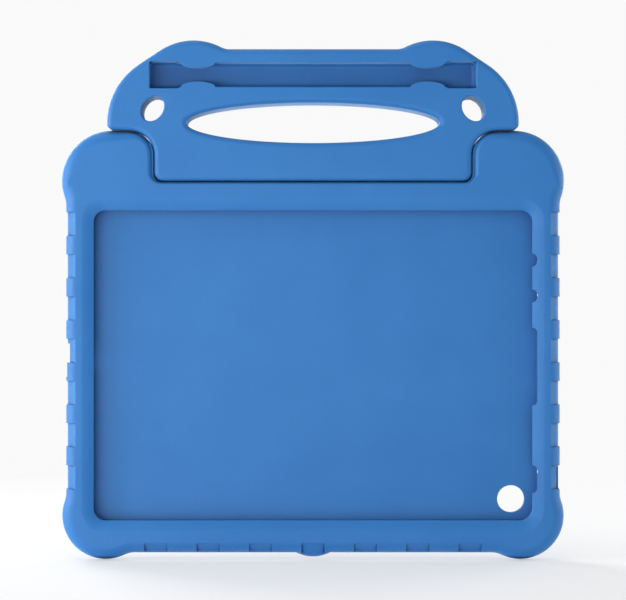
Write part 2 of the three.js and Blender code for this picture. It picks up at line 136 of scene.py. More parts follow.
# ---- Handle outline ----
TONGUE_GAP = 0.35
TONGUE_X = NOTCH_X - TONGUE_GAP
TONGUE_CORNER = 5.0
TONGUE_BACK_ROUND = 6.0
TONGUE_CORE_CORNER = 3.8
TONGUE_CORE_Y = (HINGE.y - 6.5, HINGE.y + 3.5)
BUMP_RADIUS = 33.0
BUMP = Vector((65.5, HANDLE_HIGH.z - BUMP_RADIUS))
BUMP_RISE = 4.8
BAR_TOP_Z = HANDLE_HIGH.z - BUMP_RISE
BUMP_BLEND = 10.0
EAR_RADIUS = 37.9
EAR = Vector((HANDLE_HIGH.x - EAR_RADIUS, 239.1))
EAR_CORNER = 3.2
HANDLE_ROUND = 3.1       # stays below EAR_CORNER, or the rings fold


# ---- Outlines ----
def arc(centre, radius, start, end, step=3.5):
    """Points on an arc, with its angles in degrees."""
    count = max(2, math.ceil(abs(end - start) / step))
    angles = np.radians(np.linspace(start, end, count + 1))
    x = centre[0] + radius * np.cos(angles)
    z = centre[1] + radius * np.sin(angles)
    return np.column_stack((x, z))


def symmetric(*parts):
    """Closes a right half, listed anticlockwise, with its mirror image."""
    half = np.vstack(parts)
    return tidy(np.vstack((half, (half * (-1, 1))[::-1])))


def tidy(outline, closest=0.02):
    """Drops points that repeat the one before."""
    apart = np.linalg.norm(outline - np.roll(outline, 1, axis=0), axis=1)
    return outline[apart > closest]


def rounded_rectangle(half_width, bottom, top, lower, upper=None, centre_x=0.0):
    upper = lower if upper is None else upper
    outline = symmetric(
        arc((half_width - lower, bottom + lower), lower, -90, 0, 6),
        arc((half_width - upper, top - upper), upper, 0, 90, 6),
    )
    return outline + (centre_x, 0)


def ellipse(centre, half_width, half_height, tilt=0.0, count=72):
    angles = np.linspace(0, 2 * np.pi, count, endpoint=False)
    points = np.column_stack((half_width * np.cos(angles), half_height * np.sin(angles)))
    turn = math.radians(tilt)
    matrix = np.array(((math.cos(turn), math.sin(turn)), (-math.sin(turn), math.cos(turn))))
    return points @ matrix + np.array(centre)


def blend(radius, proud, hollow):
    """A bulge stands proud of a straight edge and meets it through a hollow. Gives the
    hollow's centre from the bulge's, across and along the edge, and the bearing to it."""
    across = radius - proud + hollow
    along = math.sqrt((radius + hollow) ** 2 - across ** 2)
    return across, along, math.degrees(math.atan2(along, across))


def shell_outline():
    under_across, under_along, under = blend(FOOT_RADIUS, BOTTOM_Z - SHELL_LOW.z, BULGE_BLEND)
    foot_across, foot_along, foot = blend(
        FOOT_RADIUS, FOOT.x + FOOT_RADIUS - SIDE_X, BULGE_BLEND)
    side_across, side_along, side = blend(
        SHOULDER_RADIUS, SHOULDER.x + SHOULDER_RADIUS - SIDE_X, BULGE_BLEND)
    crest = touching_bearing(SHOULDER, SHOULDER_RADIUS, INNER, INNER_RADIUS)
    notch = (NOTCH_X - NOTCH_CORNER, SILL_Z + NOTCH_CORNER)
    boss_radius = (BOSS_HALF_WIDTH ** 2 + BOSS_SAG ** 2) / (2 * BOSS_SAG)
    boss_end = math.degrees(math.asin(BOSS_HALF_WIDTH / boss_radius)) - 90
    return symmetric(
        arc((0, BOTTOM_Z - BOSS_SAG + boss_radius), boss_radius, -88, boss_end),
        arc((FOOT.x - under_along, FOOT.y - under_across), BULGE_BLEND, 90, 90 - under),
        arc(FOOT, FOOT_RADIUS, -90 - under, foot),
        arc((FOOT.x + foot_across, FOOT.y + foot_along), BULGE_BLEND, 180 + foot, 180),
        arc((SHOULDER.x + side_across, SHOULDER.y - side_along), BULGE_BLEND, 180, 180 - side),
        arc(SHOULDER, SHOULDER_RADIUS, -side, crest),
        arc(INNER, INNER_RADIUS, crest, 180),
        arc(notch, NOTCH_CORNER, 0, -90, 9),
    )


def touching_bearing(centre, radius, other, other_radius):
    """The way that the line touching two circles on the outside faces, on the right."""
    apart = other - centre
    along = math.acos((radius - other_radius) / apart.length)
    return math.degrees(math.atan2(apart.y, apart.x) - along)


def handle_outline():
    corner_z = SHOULDER_TOP_Z + TONGUE_GAP + EAR_CORNER
    reach = EAR_RADIUS - EAR_CORNER
    corner_x = EAR.x + math.sqrt(reach ** 2 - (corner_z - EAR.y) ** 2)
    corner_end = math.degrees(math.atan2(corner_z - EAR.y, corner_x - EAR.x))
    bump_across, bump_along, bump = blend(
        BUMP_RADIUS, BUMP.y + BUMP_RADIUS - BAR_TOP_Z, BUMP_BLEND)
    tongue = (TONGUE_X - TONGUE_CORNER, TONGUE_BOTTOM_Z + TONGUE_CORNER)
    crest = touching_bearing(EAR, EAR_RADIUS, BUMP, BUMP_RADIUS)
    return symmetric(
        arc(tongue, TONGUE_CORNER, -90, 0, 7),
        arc(INNER, INNER_RADIUS + TONGUE_GAP, 180, 90),
        arc((corner_x, corner_z), EAR_CORNER, -90, corner_end, 9),
        arc(EAR, EAR_RADIUS, corner_end, crest),
        arc(BUMP, BUMP_RADIUS, crest, 90 + bump),
        arc((BUMP.x - bump_along, BUMP.y + bump_across), BUMP_BLEND, bump - 90, -90),
    )


# ---- Meshes ----
SLIVER = 0.000004


def mesh_object(name, vertices, faces):
    mesh = bpy.data.meshes.new(name)
    mesh.from_pydata((np.asarray(vertices) * MM).tolist(), [], faces)
    mesh.update()
    piece = bpy.data.objects.new(name, mesh)
    bpy.context.scene.collection.objects.link(piece)
    return piece


def inset(outline, distance):
    """Moves an anticlockwise outline inward, or outward where distance is negative."""
    before = outline - np.roll(outline, 1, axis=0)
    after = np.roll(outline, -1, axis=0) - outline
    out_before = np.column_stack((before[:, 1], -before[:, 0]))
    out_after = np.column_stack((after[:, 1], -after[:, 0]))
    out_before /= np.linalg.norm(out_before, axis=1)[:, None]
    out_after /= np.linalg.norm(out_after, axis=1)[:, None]
    share = 1 + (out_before * out_after).sum(axis=1)
    return outline - distance * (out_before + out_after) / share[:, None]


def loft(name, outline, rings, shares=1.0):
    """A closed body through rings of (y, inset), listed from front to back. Each point may
    take only a share of the inset."""
    count = len(outline)
    vertices = []
    for y, distance in rings:
        ring = inset(outline, distance * np.broadcast_to(shares, count)[:, None])
        vertices.append(np.column_stack((ring[:, 0], np.full(count, y), ring[:, 1])))
    faces = [tuple(range(count))]
    for level in range(len(rings) - 1):
        here = level * count
        there = here + count
        for i in range(count):
            j = (i + 1) % count
            faces.append((here + i, there + i, there + j, here + j))
    last = (len(rings) - 1) * count
    faces.append(tuple(last + i for i in reversed(range(count))))
    return mesh_object(name, np.vstack(vertices), faces)


def rounded_rings(front, back, front_round, back_round, segments=8):
    """Rings that round a slab's front and back edges."""
    rings = []
    if front_round:
        for t in np.linspace(0, np.pi / 2, segments + 1):
            depth = front_round * (1 - math.cos(t))
            rings.append((front + depth, front_round * (1 - math.sin(t))))
    else:
        rings.append((front, 0))
    if back_round:
        for t in np.linspace(0, np.pi / 2, segments + 1):
            depth = back_round * (1 - math.sin(t))
            rings.append((back - depth, back_round * (1 - math.cos(t))))
    else:
        rings.append((back, 0))
    return rings


def rim_rings(front, back, front_rim, back_rim, segments=6):
    """Rings for a cutter that leaves rounded rims at the faces at front and back."""
    rings = []
    if front_rim:
        rings.append((front - PAST, -front_rim))
        for t in np.linspace(0, np.pi / 2, segments + 1):
            rings.append((front + front_rim * (1 - math.cos(t)), -front_rim * (1 - math.sin(t))))
    else:
        rings.append((front - PAST, 0))
    if back_rim:
        for t in np.linspace(np.pi / 2, 0, segments + 1):
            rings.append((back - back_rim * (1 - math.cos(t)), -back_rim * (1 - math.sin(t))))
        rings.append((back + PAST, -back_rim))
    else:
        rings.append((back + PAST, 0))
    return rings


def pocket_rings(front, floor, rim, segments=4):
    """Rings for a cutter that leaves a flat floor and a rounded rim at the front face."""
    return rim_rings(front, floor - PAST, rim, 0, segments)


def prism(name, outline, front, back):
    return loft(name, outline, [(front, 0), (back, 0)])


def box(name, x, y, z):
    """A box from (low, high) pairs, which may be listed either way round."""
    (x0, x1), (y0, y1), (z0, z1) = sorted(x), sorted(y), sorted(z)
    outline = np.array(((x0, z0), (x1, z0), (x1, z1), (x0, z1)), dtype=float)
    return prism(name, outline, y0, y1)


def straight(name, section, ends, axis):
    """A body with one section all along X, of (y, z) points, or along Z, of (x, y) points."""
    section = np.array(section)
    a, b = section.T
    if (a * np.roll(b, -1) - b * np.roll(a, -1)).sum() > 0:
        section = section[::-1]
    count = len(section)
    vertices = []
    for end in sorted(ends):
        column = np.full((count, 1), end)
        parts = (column, section) if axis == "x" else (section, column)
        vertices.append(np.hstack(parts))
    faces = [tuple(range(count)), tuple(reversed(range(count, 2 * count)))]
    for i in range(count):
        j = (i + 1) % count
        faces.append((i, count + i, count + j, j))
    return mesh_object(name, np.vstack(vertices), faces)


def round_bar(name, radius, x, centre_y, centre_z, count=64):
    """A round bar along X."""
    x0, x1 = sorted(x)
    angles = np.linspace(0, 2 * np.pi, count, endpoint=False)
    y = centre_y + radius * np.cos(angles)
    z = centre_z + radius * np.sin(angles)
    ends = [np.column_stack((np.full(count, end), y, z)) for end in (x0, x1)]
    faces = [tuple(reversed(range(count))), tuple(range(count, 2 * count))]
    for i in range(count):
        j = (i + 1) % count
        faces.append((i, j, count + j, count + i))
    return mesh_object(name, np.vstack(ends), faces)


def keep_evaluated(piece):
    """Replaces a piece's mesh with what its modifiers make of it."""
    graph = bpy.context.evaluated_depsgraph_get()
    mesh = bpy.data.meshes.new_from_object(piece.evaluated_get(graph))
    piece.modifiers.clear()
    old = piece.data
    piece.data = mesh
    bpy.data.meshes.remove(old)


def joined(name, parts):
    """One object holding several separate bodies."""
    vertices = []
    faces = []
    for part in parts:
        start = len(vertices)
        vertices += [v.co / MM for v in part.data.vertices]
        faces += [tuple(start + i for i in p.vertices) for p in part.data.polygons]
        bpy.data.objects.remove(part)
    return mesh_object(name, vertices, faces)


def combine(piece, other, operation):
    """Cuts, joins or intersects a piece with another, which is used up."""
    modifier = piece.modifiers.new(operation, "BOOLEAN")
    modifier.operation = operation
    modifier.solver = "MANIFOLD"
    modifier.object = other
    keep_evaluated(piece)
    bpy.data.objects.remove(other)


def cut(piece, *others):
    for other in others:
        combine(piece, other, "DIFFERENCE")


def drop_slivers(mesh):
    """Merges points that lie together, so that no face is too thin to have a direction."""
    body = bmesh.new()
    body.from_mesh(mesh)
    bmesh.ops.remove_doubles(body, verts=body.verts, dist=SLIVER)
    bmesh.ops.dissolve_degenerate(body, edges=body.edges, dist=SLIVER)
    body.to_mesh(mesh)
    body.free()


# ---- Shell ----
LIP = rounded_rectangle(120.0, 21.5, 191.2, 6.5)
LIP_HALF_WIDTH = 120.0
LIP_SLOPE = 6.9
LIP_TIP = 0.6
LIP_STRAIGHT = 0.4
BAY_HALF_WIDTH = 124.1
BAY = rounded_rectangle(BAY_HALF_WIDTH, 17.4, 196.5, 18.0)
STEP = rounded_rectangle(119.1, 31.5, 232.9, 18.0, 24.0)
PANEL = rounded_rectangle(113.5, 37.2, 227.9, 14.0, 20.0)
STEP_ROUND = 0.9
BAY_FLOOR_ROUND = 1.2
LIP_NOTCH_DEPTH = 3.0
ROUND_NOTCHES_Z = (164.0, 144.4)
ROUND_NOTCH_HALF = 3.5
LONG_NOTCHES_Z = ((84.5, 126.9), (36.6, 51.6))
RIB_DEPTH = 0.7
RIB_ROUND = 7.5
RIB_NUMBERS = range(-3, 4)
SIDE_TOP_Z = 194.5       # the straight sides end just below this
RIB_CORE_TOP_Z = 215.0
RIB_SLOPE_FROM = 5.8
RIB_SLOPE = 3.0
RIB_BACK_Y = FRONT_Y + 11.0
RIB_LENGTH = 13.0
RIB_PITCH = 23.1
RIB_MIDDLE_Z = 114.4
BOTTOM_RIB_BACK_Y = FRONT_Y + 4.0
BOTTOM_RIB_LENGTH = 12.5
BOTTOM_RIB_PITCH = 28.65
SPEAKER_X = 125.6
SPEAKER_RADIUS = 2.3
SPEAKER_PITCH = 8.7
SPEAKER_COUNT = 4
SPEAKER_DEPTH = 3.0      # how far a hole runs in front of the bay's floor
SPEAKER_MIDDLES_Z = (158.1, 60.8)
PORT_X = 127.2
PORT_Z = 109.0
PORT_HEIGHT = 18.5
PORT_HALF_WIDTH = 10.0
PORT_CORNER = 2.0
PORT_FRONT_Y = FRONT_Y + 3.5
POWER_Z = 44.3
POWER_HEIGHT = 12.5
POWER_Y = (FRONT_Y + 3.8, FRONT_Y + 8.6)
CAMERA = (108.8, 32.7)
CAMERA_RADIUS = 7.5
CAMERA_RIM = 1.5
RABBET_HALF_WIDTH = 112.4
RABBET_CEILING_Z = 15.2
RABBET_FRONT_Y = FRONT_Y + 5.0
RABBET_FOOT_CORNER = 1.5
RABBET_CORNER = 3.0
LEDGE_Z = 9.0
LEDGE_Y = FRONT_Y + 6.0
PIN_BORE_RADIUS = 2.35
PAD_LOWER_CORNER = 17.0
PAD_UPPER_CORNER = 18.0


def lip_rings():
    """A cutter for the front opening: a slope that steepens inward to a small rounded tip."""
    rings = [(FRONT_Y - PAST, -LIP_SLOPE)]
    fall = LIP_TIP_Y - FRONT_Y
    for t in np.linspace(0, 1 - LIP_TIP / LIP_SLOPE, 9):
        rings.append((FRONT_Y + fall * t * (LIP_STRAIGHT + (1 - LIP_STRAIGHT) * t),
                      -LIP_SLOPE * (1 - t)))
    tip_y = rings[-1][0]
    for angle in np.radians(np.linspace(30, 90, 4)):
        rings.append((tip_y + LIP_TIP * (1 - math.cos(angle)), -LIP_TIP * (1 - math.sin(angle))))
    rings.append((BAY_FRONT_Y + 1, 0))
    return rings


def bay_cutters():
    """The opening inside the lip, and the tablet's space behind it."""
    lip_shape = loft("lip_cutter", LIP, lip_rings())
    pocket = loft("bay_cutter", BAY, rounded_rings(
        BAY_FRONT_Y, BAY_FLOOR_Y, 0, BAY_FLOOR_ROUND, 4))
    return lip_shape, pocket


def notch_cutters():
    """The small and long notches in the lip's right edge."""
    rounds = [
        prism("notch", ellipse((LIP_HALF_WIDTH, z), LIP_NOTCH_DEPTH, ROUND_NOTCH_HALF),
              FRONT_Y - PAST, BAY_FRONT_Y + 1)
        for z in ROUND_NOTCHES_Z
    ]
    longs = []
    for bottom, top in LONG_NOTCHES_Z:
        outline = rounded_rectangle(
            LIP_NOTCH_DEPTH * 2, bottom, top, LIP_NOTCH_DEPTH, centre_x=0)
        outline[:, 0] = LIP_HALF_WIDTH - LIP_NOTCH_DEPTH + outline[:, 0]
        longs.append(prism("notch", outline, FRONT_Y - PAST, BAY_FRONT_Y + 1))
    return joined("notch_cutter", rounds + longs)


def rib_section(edge, hand, back):
    """The recesses' section across an edge: open outward, with a sloping inner wall."""
    reach = RIB_SLOPE_FROM - RIB_SLOPE
    points = (
        (PAST, -PAST), (-RIB_SLOPE_FROM - PAST, -PAST), (-reach, RIB_SLOPE), (-reach, back),
        (PAST, back))
    return [(hand * (edge + out), FRONT_Y + depth) for out, depth in points]


def rib_cutter():
    """The shallow recesses along both sides and the bottom: bars across the edge, less a core
    that lies RIB_DEPTH under the shell's surface."""
    parts = []
    for i in RIB_NUMBERS:
        z = RIB_MIDDLE_Z + i * RIB_PITCH
        ends = (z - RIB_LENGTH / 2, z + RIB_LENGTH / 2)
        for hand in SIDES:
            section = rib_section(SIDE_X, hand, RIB_BACK_Y - FRONT_Y)
            parts.append(straight("rib", section, ends, "z"))
        x = i * BOTTOM_RIB_PITCH
        section = [(y, -z) for z, y in rib_section(-BOTTOM_Z, 1, BOTTOM_RIB_BACK_Y - FRONT_Y)]
        parts.append(straight(
            "rib", section, (x - BOTTOM_RIB_LENGTH / 2, x + BOTTOM_RIB_LENGTH / 2), "x"))
    cutter = joined("rib_cutter", parts)
    outline = shell_outline()
    sides = outline[outline[:, 1] < SIDE_TOP_Z]
    sides[sides[:, 1] > SIDE_TOP_Z - 1, 1] = RIB_CORE_TOP_Z
    rings = rounded_rings(FRONT_Y + RIB_DEPTH, BACK_Y, RIB_ROUND, 0)
    cut(cutter, loft("rib_core", inset(sides, RIB_DEPTH), rings))
    return cutter


def speaker_cutters():
    holes = []
    for hand in SIDES:
        for middle in SPEAKER_MIDDLES_Z:
            for i in range(SPEAKER_COUNT):
                z = middle + (i - (SPEAKER_COUNT - 1) / 2) * SPEAKER_PITCH
                outline = ellipse((hand * SPEAKER_X, z), SPEAKER_RADIUS, SPEAKER_RADIUS, count=32)
                holes.append(prism("hole", outline, BAY_FLOOR_Y - SPEAKER_DEPTH, BACK_Y))
    return joined("speaker_cutter", holes)


def side_cutters():
    """The charging port with its plug's slot, the power button's opening, the camera hole."""
    plug_low, plug_high = OPENINGS["charging_plug"]
    plug_y = (plug_low.y - GAP, plug_high.y + GAP)
    plug_z = (plug_low.z - GAP, plug_high.z + GAP)
    half_port = PORT_HEIGHT / 2
    half_power = POWER_HEIGHT / 2
    port = rounded_rectangle(
        PORT_HALF_WIDTH, PORT_Z - half_port, PORT_Z + half_port, PORT_CORNER,
        centre_x=-PORT_X - PORT_HALF_WIDTH)
    return (
        prism("port_cutter", port, PORT_FRONT_Y, BACK_Y),
        box("plug_cutter", (-PORT_X - 1, -BAY_HALF_WIDTH + 1), plug_y, plug_z),
        box("power_cutter", (BAY_HALF_WIDTH - 1, SIDE_X + PAST), POWER_Y,
            (POWER_Z - half_power, POWER_Z + half_power)),
        loft("camera_cutter", ellipse(CAMERA, CAMERA_RADIUS, CAMERA_RADIUS, count=64),
             rim_rings(BAY_FLOOR_Y + HAIR, BORDER_BACK_Y, 0, CAMERA_RIM)),
    )


def rabbet_cutter():
    """The rear bottom recess, less the ledge along its front."""
    outline = rounded_rectangle(
        RABBET_HALF_WIDTH, -PAST, RABBET_CEILING_Z, RABBET_FOOT_CORNER, RABBET_CORNER)
    cutter = prism("rabbet_cutter", outline, RABBET_FRONT_Y, BACK_Y)
    cut(cutter, box("ledge", (-SIDE_X, SIDE_X), (RABBET_FRONT_Y - 1, LEDGE_Y),
                    (-3 * PAST, LEDGE_Z)))
    return cutter


def button_cutter(node):
    low, high = node_box(node)
    return box("button_cutter", (low.x - GAP, high.x + GAP), (low.y - GAP, high.y + GAP),
               (low.z - PAST, high.z + PAST))


def hinge_cutters():
    """The shoulders' bores, each with a wider seat for its bush."""
    bush_radius = (BUSH_HIGH.z - BUSH_LOW.z) / 2 + GAP
    parts = []
    for hand in SIDES:
        parts.append(round_bar(
            "bore", bush_radius, (hand * (BUSH_LOW.x - GAP), hand * (BUSH_HIGH.x + GAP)),
            HINGE.y, HINGE.z))
        parts.append(round_bar(
            "bore", PIN_BORE_RADIUS, (hand * (NOTCH_X - 1), hand * BUSH_LOW.x),
            HINGE.y, HINGE.z))
    return parts


def pad_outline(clearance):
    return rounded_rectangle(
        PAD_HIGH.x + clearance, PAD_LOW.z - clearance, PAD_HIGH.z + clearance,
        PAD_LOWER_CORNER + clearance, PAD_UPPER_CORNER + clearance)


NOTCH_FLOOR_SHARE = 0.2
NOTCH_SIDE_SHARE = 0.3
SHOULDER_SHARE = 0.5


def edge_shares(outline):
    """How much of the front rounding each point takes: little on the notch's floor, half up
    its sides and all of it round the outside."""
    x, z = np.abs(outline[:, 0]), outline[:, 1]
    up = np.clip((z - SILL_Z) / NOTCH_CORNER, 0, 1)
    out = np.clip((x - NOTCH_X) / (SHOULDER.x - NOTCH_X), 0, 1)
    smooth = out ** 2 * (3 - 2 * out)
    shares = NOTCH_FLOOR_SHARE + NOTCH_SIDE_SHARE * up + SHOULDER_SHARE * smooth
    return np.where(z < SILL_Z - NOTCH_CORNER, 1.0, shares)


def swing_room():
    """The room behind the sill for the tongue's lower edge."""
    outline = rounded_rectangle(NOTCH_X, NOTCH_FLOOR_Z, HINGE.z, NOTCH_REAR_CORNER)
    return prism("swing_room", outline, SILL_BACK_Y, BACK_Y)


def build_shell():
    outline = shell_outline()
    shell = loft("shell", outline, rounded_rings(
        FRONT_Y, BORDER_BACK_Y, FRONT_ROUND, BORDER_ROUND), edge_shares(outline))
    raised = loft("raised", STEP, rounded_rings(BAY_FRONT_Y, STEP_BACK_Y, 0, STEP_ROUND, 4))
    panel = loft("panel", PANEL, rounded_rings(BAY_FRONT_Y - 1, PANEL_BACK_Y, 0, STEP_ROUND, 4))
    combine(raised, panel, "UNION")
    combine(raised, loft("limits", outline, rounded_rings(
        FRONT_Y, PANEL_BACK_Y, 0, NOTCH_ROUND)), "INTERSECT")
    combine(shell, raised, "UNION")
    cut(shell, swing_room())
    cut(shell, *bay_cutters())
    cut(shell, notch_cutters())
    cut(shell, rib_cutter())
    cut(shell, speaker_cutters(), *side_cutters())
    cut(shell, rabbet_cutter())
    cut(shell, button_cutter("volume_up_pad"), button_cutter("volume_down_pad"))
    cut(shell, *hinge_cutters())
    cut(shell, prism("recess", pad_outline(GAP), RECESS_FLOOR_Y, BACK_Y))
    return shell


# ---- Back pad, button pads ----
PAD_ROUND = 5.5
PAD_FRONT_ROUND = 0.4
BUTTON_CORNER = 0.8
BUTTON_ROUND = 0.5


def build_pad():
    return loft("pad", pad_outline(0), rounded_rings(
        PAD_LOW.y, PAD_HIGH.y, PAD_FRONT_ROUND, PAD_ROUND, 10))


def build_button(node):
    low, high = node_box(node)
    centre_x = (low.x + high.x) / 2
    outline = rounded_rectangle(
        (high.x - low.x) / 2, low.z, high.z, BUTTON_CORNER, centre_x=centre_x)
    return loft("button", outline, rounded_rings(
        low.y, high.y, BUTTON_ROUND, BUTTON_ROUND, 4))


# ---- Handle ----
GRIP = (0.0, 239.0)
GRIP_SIZE = (69.2, 11.0)
GRIP_RIM = 2.9
STRAP = (87.5, 246.6)
STRAP_SIZE = (7.3, 5.6)
STRAP_TILT = 55.0
STRAP_RIM = 0.9
CHANNEL_END = 89.3
CHANNEL_ROUND = 2.5
CHANNEL_RIM = 0.5
CHANNEL_EASE = 0.55      # added to the stated opening's half height
CHANNEL_FLOOR_EASE = 0.2
POCKET_FROM = 73.0
POCKET_HEIGHT = 14.7
POCKET_CORNER = 0.8
LUG_X = 62.7
LUG_HALF_WIDTH = 9.6
LUG_SAG = 3.0
LUG_BACK_Y = FRONT_Y + 2.4


def channel_outline(middle, half, lug_sag, corner):
    """The channel's outline: wider pockets at its ends, and a pair of lugs near each."""
    across = np.linspace(1, -1, 25)
    lug = np.column_stack((
        LUG_X + LUG_HALF_WIDTH * across, half - lug_sag * np.sqrt(1 - across ** 2)))
    upper = np.vstack((
        arc((CHANNEL_END - corner, POCKET_HEIGHT / 2 - corner), corner, 0, 90, 30),
        ((POCKET_FROM + corner, POCKET_HEIGHT / 2), (POCKET_FROM, half)),
        lug))
    return symmetric((upper * (1, -1))[::-1], upper) + (0, middle)


def channel_cutters():
    """The stylus channel: its mouth, with the lugs, and the wider space behind them."""
    low, high = OPENINGS["stylus_channel"]
    middle = (low.z + high.z) / 2
    half = (high.z - low.z) / 2 + CHANNEL_EASE
    floor_y = high.y + CHANNEL_FLOOR_EASE
    return (
        loft("channel_mouth", channel_outline(middle, half, LUG_SAG, POCKET_CORNER),
             pocket_rings(FRONT_Y, LUG_BACK_Y, CHANNEL_RIM)),
        loft("channel", channel_outline(middle, half, 0, CHANNEL_ROUND + OVERLAP),
             rounded_rings(LUG_BACK_Y - OVERLAP, floor_y, 0, CHANNEL_ROUND, 5)),
    )


def strap_cutters():
    holes = []
    for hand in SIDES:
        outline = ellipse((hand * STRAP[0], STRAP[1]), *STRAP_SIZE,
                          tilt=90 + hand * (90 - STRAP_TILT), count=48)
        holes.append(loft("strap", outline, rim_rings(FRONT_Y, BACK_Y, STRAP_RIM, STRAP_RIM, 4)))
    return joined("strap_cutter", holes)


def tongue_cutter():
    """Rounds the rear bottom edge of the tongue."""
    y = BACK_Y - TONGUE_BACK_ROUND
    z = TONGUE_BOTTOM_Z + TONGUE_BACK_ROUND
    wedge = box("tongue_cutter", (-SIDE_X, SIDE_X), (y, BACK_Y + PAST),
                (TONGUE_BOTTOM_Z - PAST, z))
    cut(wedge, round_bar("round", TONGUE_BACK_ROUND, (-SIDE_X - 1, SIDE_X + 1), y, z, 120))
    return wedge


def pin_cutters():
    """The tongue's slot for the bar, the pins' bores and the friction rings' seats."""
    ring_radius = (RING_HIGH.z - RING_LOW.z) / 2 + GAP
    parts = [box("bar", (BAR_LOW.x - GAP, BAR_HIGH.x + GAP), (BAR_LOW.y - GAP, BAR_HIGH.y + GAP),
                 (BAR_LOW.z - GAP, BAR_HIGH.z + GAP))]
    for hand in SIDES:
        parts.append(round_bar(
            "bore", PIN_BORE_RADIUS, (hand * BAR_HIGH.x, hand * (TONGUE_X + 1)),
            HINGE.y, HINGE.z))
        parts.append(round_bar(
            "seat", ring_radius, (hand * (RING_LOW.x - GAP), hand * (TONGUE_X + 1)),
            HINGE.y, HINGE.z))
    return parts


def build_handle():
    handle = loft("handle", handle_outline(), rounded_rings(
        FRONT_Y, BACK_Y, HANDLE_ROUND, HANDLE_ROUND, 7))
    core = rounded_rectangle(TONGUE_X, TONGUE_CORE_Z, HINGE.z, TONGUE_CORE_CORNER)
    combine(handle, prism("tongue_core", core, *TONGUE_CORE_Y), "UNION")
    cut(handle, *channel_cutters())
    cut(handle, strap_cutters())
    cut(handle, loft("grip_cutter", ellipse(GRIP, *GRIP_SIZE, count=160), rim_rings(
        FRONT_Y, BACK_Y, GRIP_RIM, GRIP_RIM, 7)))
    cut(handle, tongue_cutter())
    cut(handle, *pin_cutters())
    drop_slivers(handle.data)
    return handle


# ---- Materials ----
def node_material(name, colour, roughness):
    material = bpy.data.materials.new(name)
    material.use_nodes = True
    shader = material.node_tree.nodes["Principled BSDF"]
    shader.inputs["Base Color"].default_value = (*colour, 1)
    shader.inputs["Roughness"].default_value = roughness
    return material, material.node_tree, shader


def add_node(tree, kind, **inputs):
    node = tree.nodes.new(kind)
    for name, value in inputs.items():
        node.inputs[name.replace("_", " ")].default_value = value
    return node


def noise(tree, scale, detail=3.0, roughness=0.55):
    """A noise in object space, with scale in features per metre."""
    place = tree.nodes.new("ShaderNodeTexCoord")
    texture = add_node(tree, "ShaderNodeTexNoise", Scale=scale, Detail=detail,
                       Roughness=roughness)
    tree.links.new(place.outputs["Object"], texture.inputs["Vector"])
    return texture.outputs["Fac"]


def ramp(tree, value, low, high, start=0.0, end=1.0):
    """Maps value from start..end to low..high."""
    node = add_node(tree, "ShaderNodeMapRange")
    node.inputs["From Min"].default_value = start
    node.inputs["From Max"].default_value = end
    node.inputs["To Min"].default_value = low
    node.inputs["To Max"].default_value = high
    tree.links.new(value, node.inputs["Value"])
    return node.outputs["Result"]


def mix_colour(tree, factor, first, second):
    node = tree.nodes.new("ShaderNodeMix")
    node.data_type = "RGBA"
    tree.links.new(factor, node.inputs["Factor"])
    for socket, colour in ((node.inputs["A"], first), (node.inputs["B"], second)):
        if isinstance(colour, tuple):
            socket.default_value = (*colour, 1)
        else:
            tree.links.new(colour, socket)
    return node.outputs["Result"]


def add_bumps(tree, shader, layers, normal=None):
    """Stacks bump layers of (height socket, strength, distance in metres)."""
    for height, strength, distance in layers:
        bump = add_node(tree, "ShaderNodeBump", Strength=strength, Distance=distance)
        tree.links.new(height, bump.inputs["Height"])
        if normal:
            tree.links.new(normal, bump.inputs["Normal"])
        normal = bump.outputs["Normal"]
    tree.links.new(normal, shader.inputs["Normal"])


FOAM_DEEP = (0.012, 0.144, 0.428)
FOAM_LIGHT = (0.018, 0.161, 0.456)
# Painted shade colour for slits and seams.
FOAM_CREVICE_SHADE = (0.004, 0.03, 0.11)
# Painted shade colour for deep hollows, such as the stylus channel's ends.
FOAM_HOLLOW_SHADE = (0.008, 0.085, 0.29)
FOAM_SHEEN = 0.3
FOAM_SHEEN_ROUGHNESS = 0.45
FOAM_SHEEN_TINT = (0.5, 0.8, 1.0, 1)
FOAM_SPECULAR = 0.4
FOAM_ROUGHNESS = (0.46, 0.62)
PATCH_SCALE = 28
SKIN_SCALE = 520
GRAIN_SCALE = 2200
SOFT_EDGE = 0.0005       # metres, like the two below
CREVICE_REACH = 0.003
HOLLOW_REACH = 0.014
# The two reaches above and these ranges of occlusion set where painted shade fades in, in slits and in hollows.
CREVICE_RANGE = (0.1, 0.85)
HOLLOW_RANGE = (0.3, 0.85)


def painted_shade_mask(tree, reach, closed, clear, own_walls_only):
    """1 on an open surface, falling to 0 where walls stand close round it. It masks painted shade."""
    occlusion = add_node(tree, "ShaderNodeAmbientOcclusion", Distance=reach)
    occlusion.samples = 6
    occlusion.only_local = own_walls_only
    return ramp(tree, occlusion.outputs["AO"], 0, 1, closed, clear)


